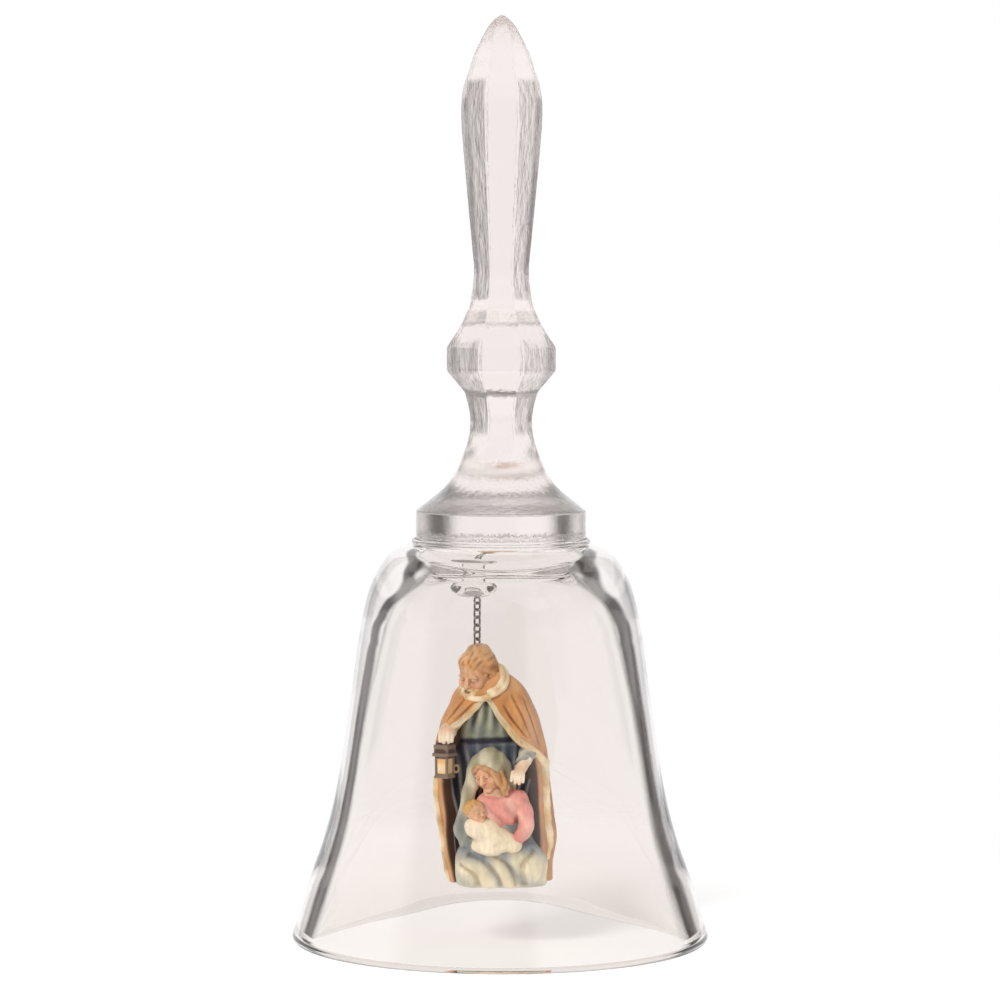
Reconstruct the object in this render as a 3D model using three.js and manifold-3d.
// Glass table bell with a carved wooden clapper on a fine steel chain.
// Millimetres, +Z up. The origin is the centre of the flat ring that the rim stands on.
import * as THREE from "three";
import { mergeVertices } from "three/addons/utils/BufferGeometryUtils.js";
import Module from "manifold-3d";

const wasm = await Module();
wasm.setup();

// ---- Driving dimensions ----
const ROUND_SIDES = 48;
const HANDLE_SIDES = 8;
const MERGE_MM = 1e-4;

// Rim: a flat standing ring between two rounded lips.
const RIM_FLAT_INNER_R = 31.7;
const RIM_FLAT_OUTER_R = 32.8;
const RIM_LIP_R = 1.1;

// Crown: a hollow neck under the seat of the handle, closed by a thin ceiling.
const CEILING_Z = 63.4;
const CEILING_FLAT_R = 9.5;
const SEAT_Z = 64.7;
const SEAT_R = 14.9;

// Bond and handle foot.
const BOND_GAP = 0.1;
const BOND_THICKNESS = 0.7;
const BOND_R = 14.5;
const FOOT_R = 13.8;
const FOOT_TOP_Z = 70.4;
const FOOT_EDGE_R = 0.5;
const FOOT_Z = SEAT_Z + BOND_THICKNESS + 2 * BOND_GAP;

// Handle: eight flats. Widths are half widths across flats.
const HEIGHT = 150;
const NECK_FLARE_Z = 79.2;
const NECK_FLARE_HALF = 5.9;
const TIP_HALF = 0.6;

// Hanger button, chain and screw eye. The button is a disc on a stem from the ceiling.
const PAD_X = -4.4;
const PAD_R = 3.8;
const PAD_BOTTOM_Z = 58.4;
const PAD_DEPTH = 1.7;
const PAD_EDGE = 0.45;
const STEM_R = 1.9;
const STEM_TOP_Z = CEILING_Z - 0.2;
const HOOK_X = -3.8;
const WIRE_R = 0.2;
const LINK_CENTRELINE_R = 0.6;
const LINK_STRAIGHT = 0.77;
const LINK_COUNT = 5;
const LINK_PLAY = 0.05;
const LOOP_BOTTOM_Z = 57.0;
const CHAIN_TURN = Math.PI / 4;
const LOOP_STRAIGHT = 0.2;
const POCKET_CLEARANCE = 0.3;
const WIRE_SIDES = 8;
const LINK_STEPS = 12;
const SHANK_R = 0.25;
const SHANK_LENGTH = 3.2;

// Carving.
const CARVING_BASE_Z = 8.6;
const HEAD_TOP_Z = 48.2;

// ---- Helpers ----
const vec = (x, y) => new THREE.Vector2(x, y);

function solidOf(geometry) {
  const bare = geometry.clone();
  bare.deleteAttribute("normal");
  bare.deleteAttribute("uv");
  const merged = mergeVertices(bare, MERGE_MM);
  return new wasm.Manifold(
    new wasm.Mesh({
      numProp: 3,
      vertProperties: merged.attributes.position.array,
      triVerts: new Uint32Array(merged.index.array),
    }),
  );
}

function geometryOf(solid) {
  const mesh = solid.getMesh();
  const geometry = new THREE.BufferGeometry();
  geometry.setAttribute("position", new THREE.BufferAttribute(mesh.vertProperties, mesh.numProp));
  geometry.setIndex(new THREE.BufferAttribute(mesh.triVerts, 1));
  geometry.computeVertexNormals();
  return geometry;
}

const union = (solids) => solids.reduce((whole, piece) => whole.add(piece));

// Points on a circular arc, angles in degrees.
function arc(centreR, centreZ, radius, from, to, steps) {
  return Array.from({ length: steps + 1 }, (_, i) => {
    const angle = THREE.MathUtils.degToRad(from + ((to - from) * i) / steps);
    return vec(centreR + radius * Math.cos(angle), centreZ + radius * Math.sin(angle));
  });
}

// A smooth curve through [radius, height] pairs.
function smooth(pairs, steps) {
  return new THREE.SplineCurve(pairs.map(([r, z]) => vec(r, z))).getPoints(steps);
}

// A turned solid about +Z, with its first flat facing +X when it has few sides.
function turned(profile, sides = ROUND_SIDES) {
  return new THREE.LatheGeometry(profile, sides, Math.PI / sides).rotateX(Math.PI / 2);
}

// ---- Glass ----
function glassShell() {
  const inner = smooth(
    [
      [12.0, 63.0],
      [12.1, 61.8],
      [12.9, 60.9],
      [15.0, 58.9],
      [17.2, 56.0],
      [18.6, 52.8],
      [19.4, 49.6],
      [20.0, 47.0],
      [21.8, 38.0],
      [24.0, 25.0],
      [25.6, 17.0],
      [27.8, 9.6],
      [30.6, 1.1],
    ],
    24,
  );
  const outer = smooth(
    [
      [33.9, 1.1],
      [31.2, 9.7],
      [28.6, 17.0],
      [26.4, 26.0],
      [24.4, 39.0],
      [22.9, 50.0],
      [21.2, 57.6],
      [18.3, 62.8],
      [SEAT_R, SEAT_Z],
    ],
    18,
  );
  const innerLip = arc(RIM_FLAT_INNER_R, RIM_LIP_R, RIM_LIP_R, 180, 270, 3).slice(1);
  const outerLip = arc(RIM_FLAT_OUTER_R, RIM_LIP_R, RIM_LIP_R, 270, 360, 3).slice(0, -1);
  return turned([
    vec(0, CEILING_Z),
    vec(CEILING_FLAT_R, CEILING_Z),
    vec(11.5, CEILING_Z - 0.1),
    ...inner,
    ...innerLip,
    ...outerLip,
    ...outer,
    vec(0, SEAT_Z),
  ]);
}

function handleBond() {
  const low = SEAT_Z + BOND_GAP;
  const half = BOND_THICKNESS / 2;
  const edge = arc(BOND_R - half, low + half, half, -90, 90, 4);
  return turned([vec(0, low), ...edge, vec(0, low + BOND_THICKNESS)]);
}

// The round foot and flare of the handle, which the eight flats grow out of.
function handleFoot() {
  const flare = smooth(
    [
      [12.9, FOOT_TOP_Z + 0.4],
      [10.2, 72.9],
      [8.5, 74.6],
      [7.1, 76.8],
      [6.35, 78.5],
      [NECK_FLARE_HALF, NECK_FLARE_Z + 0.4],
    ],
    10,
  );
  const edge = arc(FOOT_R - FOOT_EDGE_R, FOOT_TOP_Z - FOOT_EDGE_R, FOOT_EDGE_R, 0, 60, 2);
  return turned([
    vec(0, FOOT_Z),
    vec(FOOT_R - FOOT_EDGE_R, FOOT_Z),
    vec(FOOT_R, FOOT_Z + FOOT_EDGE_R),
    ...edge,
    ...flare,
    vec(0, NECK_FLARE_Z + 2),
  ]);
}

// The flat-sided neck, knop and spindle. Radii go from half width across flats to the corners.
function handleFlats() {
  const neck = smooth(
    [
      [NECK_FLARE_HALF, NECK_FLARE_Z],
      [5.4, 81.0],
      [4.95, 84.3],
      [5.2, 86.8],
      [5.9, 89.3],
    ],
    8,
  );
  const knop = [vec(8.75, 92.9), vec(8.75, 96.7)];
  const spindle = smooth(
    [
      [6.2, 100.7],
      [5.0, 103.8],
      [4.42, 108.6],
      [4.8, 113.5],
      [5.7, 123.2],
      [6.5, 133.2],
      [6.2, 138.0],
      [5.3, 141.0],
      [4.35, 143.9],
      [2.35, 147.8],
      [TIP_HALF, HEIGHT - 0.2],
    ],
    26,
  );
  const corner = 1 / Math.cos(Math.PI / HANDLE_SIDES);
  const outline = [
    vec(0, FOOT_TOP_Z),
    vec(NECK_FLARE_HALF, FOOT_TOP_Z),
    ...neck,
    ...knop,
    ...spindle,
    vec(0, HEIGHT),
  ];
  return turned(
    outline.map((p) => vec(p.x * corner, p.y)),
    HANDLE_SIDES,
  );
}

const glassHandle = () => geometryOf(solidOf(handleFoot()).add(solidOf(handleFlats())));

// ---- Hanger, chain and screw eye ----
// A wire ring standing upright, stretched along Z by straight legs, and turned about +Z.
function ring(straight, turn) {
  const geometry = new THREE.TorusGeometry(LINK_CENTRELINE_R, WIRE_R, WIRE_SIDES, LINK_STEPS);
  geometry.rotateZ(Math.PI / LINK_STEPS);
  const place = geometry.attributes.position;
  for (let i = 0; i < place.count; i++) {
    place.setY(i, place.getY(i) + (Math.sign(place.getY(i)) * straight) / 2);
  }
  return geometry.rotateX(Math.PI / 2).rotateZ(turn);
}

const centreAbove = (straight) => LINK_CENTRELINE_R + straight / 2;

function hangerLoop() {
  const centreZ = LOOP_BOTTOM_Z + centreAbove(LOOP_STRAIGHT);
  return ring(LOOP_STRAIGHT, CHAIN_TURN).translate(HOOK_X, 0, centreZ);
}

function hangerPad() {
  const low = PAD_BOTTOM_Z;
  const shoulder = low + PAD_DEPTH;
  const pad = turned(
    [
      vec(0, low),
      vec(1.9, low + 0.1),
      vec(3.1, low + 0.5),
      vec(PAD_R, shoulder - PAD_EDGE),
      vec(PAD_R - 0.3, shoulder),
      vec(STEM_R, shoulder + 0.2),
      vec(STEM_R, STEM_TOP_Z),
      vec(0, STEM_TOP_Z),
    ],
    24,
  ).translate(PAD_X, 0, 0);
  const width = 2 * (LINK_CENTRELINE_R + WIRE_R + POCKET_CLEARANCE);
  const thickness = 2 * (WIRE_R + POCKET_CLEARANCE);
  const top = LOOP_BOTTOM_Z + 2 * centreAbove(LOOP_STRAIGHT) + WIRE_R + POCKET_CLEARANCE;
  const height = top - low + 1;
  const pocket = new THREE.BoxGeometry(width, thickness, height)
    .rotateZ(CHAIN_TURN)
    .translate(HOOK_X, 0, top - height / 2);
  return geometryOf(solidOf(pad).subtract(solidOf(pocket)));
}

// Odd links are turned a right angle from the hanger loop. Each hangs on the wire above.
const linkDrop = 2 * centreAbove(LINK_STRAIGHT) - 2 * WIRE_R - LINK_PLAY;
const wireBelow = (index) => LOOP_BOTTOM_Z - linkDrop * index;

function chainLink(index) {
  const turn = index % 2 === 1 ? -CHAIN_TURN : CHAIN_TURN;
  return ring(LINK_STRAIGHT, turn).translate(HOOK_X, 0, wireBelow(index) + centreAbove(LINK_STRAIGHT));
}

function screwEye() {
  const topWireZ = wireBelow(LINK_COUNT) + 2 * WIRE_R + LINK_PLAY;
  const eye = ring(0, CHAIN_TURN).translate(HOOK_X, 0, topWireZ - LINK_CENTRELINE_R);
  const shankTop = topWireZ - 2 * LINK_CENTRELINE_R;
  const tip = shankTop - SHANK_LENGTH;
  const shank = turned(
    [vec(0, tip), vec(SHANK_R, tip + 0.7), vec(SHANK_R, shankTop), vec(0, shankTop)],
    10,
  ).translate(HOOK_X, 0, 0);
  return geometryOf(solidOf(eye).add(solidOf(shank)));
}

// ---- Carving ----
// A prism of a closed outline of [across, height] pairs, seen from the front and cut right through.
function cutFromFront(pairs, front, back) {
  return prism(pairs, back - front).translate(0, back, 0);
}

// The same, with the outline of [front-to-back, height] pairs seen from the side.
function cutFromSide(pairs, left, right) {
  return prism(pairs, right - left)
    .rotateZ(Math.PI / 2)
    .translate(left, 0, 0);
}

function prism(pairs, depth) {
  const shape = new THREE.Shape();
  const [start, ...rest] = pairs.map(([across, z]) => vec(across, z));
  shape.moveTo(start.x, start.y);
  shape.splineThru(rest);
  return new THREE.ExtrudeGeometry(shape, { depth, bevelEnabled: false, curveSegments: 2 }).rotateX(
    Math.PI / 2,
  );
}

function oval(x, y, radiusX, radiusY) {
  const shape = new THREE.Shape().absellipse(x, y, radiusX, radiusY, 0, 2 * Math.PI);
  const depth = HEAD_TOP_Z - CARVING_BASE_Z;
  return new THREE.ExtrudeGeometry(shape, { depth, bevelEnabled: false, curveSegments: 24 }).translate(
    0,
    0,
    CARVING_BASE_Z,
  );
}

const egg = (x, y, z, radiusX, radiusY, radiusZ) =>
  solidOf(new THREE.SphereGeometry(1, 16, 10).scale(radiusX, radiusY, radiusZ).translate(x, y, z));

// A block cut to a front outline and a side outline, with its corners taken off in plan.
const carved = (front, side, plan) => solidOf(front).intersect(solidOf(side)).intersect(solidOf(plan));

function cloakedFigure() {
  const front = [
    [-7.6, CARVING_BASE_Z],
    [-9.1, 12.3],
    [-10.1, 19.6],
    [-10.7, 25.0],
    [-10.5, 32.6],
    [-8.6, 38.4],
    [-7.0, 42.0],
    [-4.2, 44.4],
    [0.6, 44.9],
    [3.8, 42.8],
    [5.6, 39.0],
    [7.1, 33.7],
    [8.4, 23.0],
    [8.8, 16.0],
    [8.4, CARVING_BASE_Z],
  ];
  const side = [
    [-3.4, CARVING_BASE_Z],
    [-3.2, 22.0],
    [-4.2, 31.0],
    [-4.6, 36.0],
    [-3.8, 41.0],
    [-1.6, 44.4],
    [1.6, 45.0],
    [4.4, 42.0],
    [5.8, 35.0],
    [6.5, 24.0],
    [6.2, CARVING_BASE_Z],
  ];
  return carved(cutFromFront(front, -6, 7), cutFromSide(side, -12, 10), oval(-1.0, 0.9, 10.1, 5.7));
}

function seatedFigure() {
  const front = [
    [-7.5, CARVING_BASE_Z],
    [-6.6, 13.0],
    [-7.0, 18.5],
    [-5.6, 23.5],
    [-5.2, 28.0],
    [-2.6, 31.9],
    [0.6, 30.2],
    [2.4, 26.6],
    [4.9, 24.2],
    [5.5, 20.0],
    [5.6, 15.5],
    [7.2, 12.0],
    [7.5, CARVING_BASE_Z],
  ];
  const side = [
    [-6.4, CARVING_BASE_Z],
    [-6.9, 13.0],
    [-6.8, 19.0],
    [-5.8, 24.0],
    [-5.7, 28.5],
    [-3.6, 31.8],
    [0, 28.0],
    [0, CARVING_BASE_Z],
  ];
  return carved(cutFromFront(front, -8, 1), cutFromSide(side, -9, 9), oval(-0.2, -2.2, 8.1, 4.8));
}

function lantern() {
  const x = -9.15;
  const y = -3.5;
  const body = turned(
    [vec(0, 26.3), vec(2.0, 26.5), vec(2.0, 30.2), vec(2.4, 30.4), vec(1.7, 32.6), vec(0, 32.8)],
    6,
  );
  return solidOf(body.translate(x, y, 0));
}

function carvedFamily() {
  const elderHead = egg(-3.85, -0.9, HEAD_TOP_Z - 3.5, 3.05, 3.4, 3.5);
  const lanternHand = egg(-8.6, -3.4, 34.0, 1.9, 1.7, 2.0);
  const shoulderHand = egg(2.6, -4.3, 28.2, 1.7, 1.3, 2.3);
  const shankHole = new THREE.CylinderGeometry(
    SHANK_R + POCKET_CLEARANCE,
    SHANK_R + POCKET_CLEARANCE,
    2 * (SHANK_LENGTH + 1),
    12,
  )
    .rotateX(Math.PI / 2)
    .translate(HOOK_X, 0, HEAD_TOP_Z + 0.5);
  const block = union([
    cloakedFigure(),
    seatedFigure(),
    lantern(),
    elderHead,
    lanternHand,
    shoulderHand,
  ]);
  return geometryOf(block.subtract(solidOf(shankHole)));
}

// ---- Assembly ----
const surface = (settings) => new THREE.MeshStandardMaterial(settings);
const glass = () => surface({ color: 0xf4f1ef, roughness: 0.04, transparent: true, opacity: 0.35 });
const steel = () => surface({ color: 0x9a9a98, roughness: 0.3, metalness: 1 });
const paintedWood = () => surface({ color: 0xc48a55, roughness: 0.55 });

const bell = new THREE.Group();

function place(name, geometry, material) {
  const mesh = new THREE.Mesh(geometry, material);
  mesh.name = name;
  bell.add(mesh);
}

place("glass_shell", glassShell(), glass());
place("handle_bond", handleBond(), glass());
place("glass_handle", glassHandle(), glass());
place("hanger_pad", hangerPad(), glass());
place("hanger_loop", hangerLoop(), steel());
for (let index = 1; index <= LINK_COUNT; index++) {
  place(`chain_link_${index}`, chainLink(index), steel());
}
place("screw_eye", screwEye(), steel());
place("carved_family", carvedFamily(), paintedWood());

export default bell;
